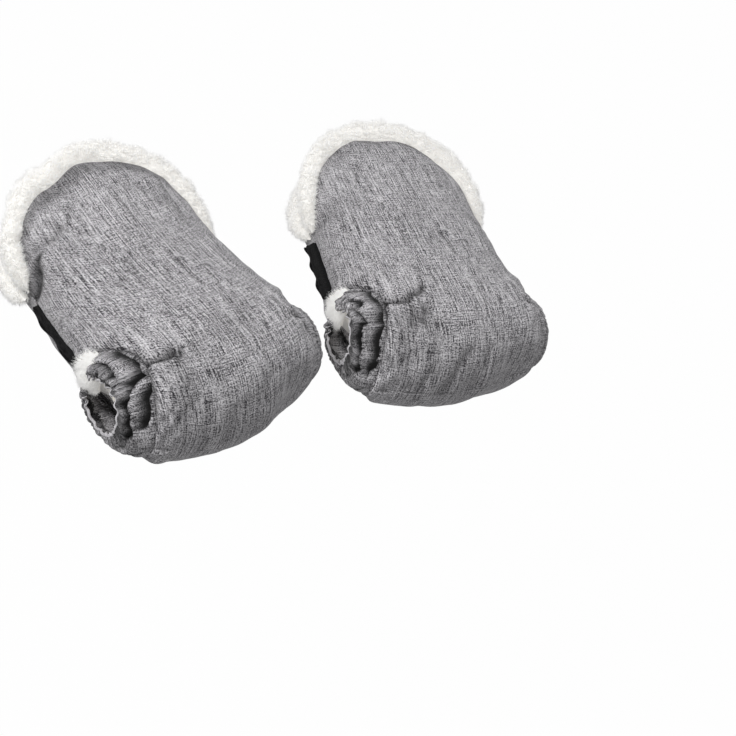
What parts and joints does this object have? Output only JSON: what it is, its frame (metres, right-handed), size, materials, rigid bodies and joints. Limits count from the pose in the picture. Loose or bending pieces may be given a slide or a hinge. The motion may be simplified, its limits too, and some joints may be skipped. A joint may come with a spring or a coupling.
{
  "type": "stroller hand muff",
  "caption": "Pair of lambskin-lined hand muffs that close round a pushchair handlebar, with arched wool-edged mouths, gathered outlets and front halves that open.",
  "frame": {"origin": "on the handlebar's axis, midway between the two muffs", "axes": "+X along the handlebar to the right muff, +Y out of the mouths towards the person pushing, +Z to the side over the backs of the hands"},
  "size_m": [0.4794, 0.3033, 0.1093],
  "materials": {
    "melange_polyester": "matt woven grey melange",
    "gathered_polyester": "matt woven grey melange, gathered",
    "lambskin": "sheared ivory wool pile",
    "elastic_binding": "matt knitted elastic",
    "hook_tape": "black nylon hooks",
    "loop_tape": "black nylon loop pile"
  },
  "bodies": {
    "left_back": {"left_back_shell": "melange_polyester", "left_back_lining": "lambskin", "left_back_cuff_wool": "lambskin", "left_back_outer_collar": "gathered_polyester", "left_back_outer_binding": "elastic_binding", "left_outer_loop_tape": "loop_tape", "left_outer_outlet_wool": "lambskin", "left_back_inner_collar": "gathered_polyester", "left_back_inner_binding": "elastic_binding", "left_inner_loop_tape": "loop_tape", "left_inner_outlet_wool": "lambskin"},
    "left_front": {"left_front_shell": "melange_polyester", "left_front_lining": "lambskin", "left_front_cuff_wool": "lambskin", "left_front_outer_collar": "gathered_polyester", "left_front_outer_binding": "elastic_binding", "left_outer_hook_tape": "hook_tape", "left_front_inner_collar": "gathered_polyester", "left_front_inner_binding": "elastic_binding", "left_inner_hook_tape": "hook_tape"},
    "right_back": {"right_back_shell": "melange_polyester", "right_back_lining": "lambskin", "right_back_cuff_wool": "lambskin", "right_back_outer_collar": "gathered_polyester", "right_back_outer_binding": "elastic_binding", "right_outer_loop_tape": "loop_tape", "right_outer_outlet_wool": "lambskin", "right_back_inner_collar": "gathered_polyester", "right_back_inner_binding": "elastic_binding", "right_inner_loop_tape": "loop_tape", "right_inner_outlet_wool": "lambskin"},
    "right_front": {"right_front_shell": "melange_polyester", "right_front_lining": "lambskin", "right_front_cuff_wool": "lambskin", "right_front_outer_collar": "gathered_polyester", "right_front_outer_binding": "elastic_binding", "right_outer_hook_tape": "hook_tape", "right_front_inner_collar": "gathered_polyester", "right_front_inner_binding": "elastic_binding", "right_inner_hook_tape": "hook_tape"}
  },
  "joints": [
    {"name": "left_front_open", "type": "hinge", "parent": "left_back", "child": "left_front", "pos_m": [-0.10886, -0.08166, 0], "axis": [0.9877, 0.1564, 0], "range_deg": [0, 80]},
    {"name": "right_muff_slide", "type": "slide", "parent": "left_back", "child": "right_back", "axis": [1, 0, 0], "range_m": [0, 0.04]},
    {"name": "right_front_open", "type": "hinge", "parent": "right_back", "child": "right_front", "pos_m": [0.10886, -0.08166, 0], "axis": [0.9877, -0.1564, 0], "range_deg": [0, 80]}
  ]
}
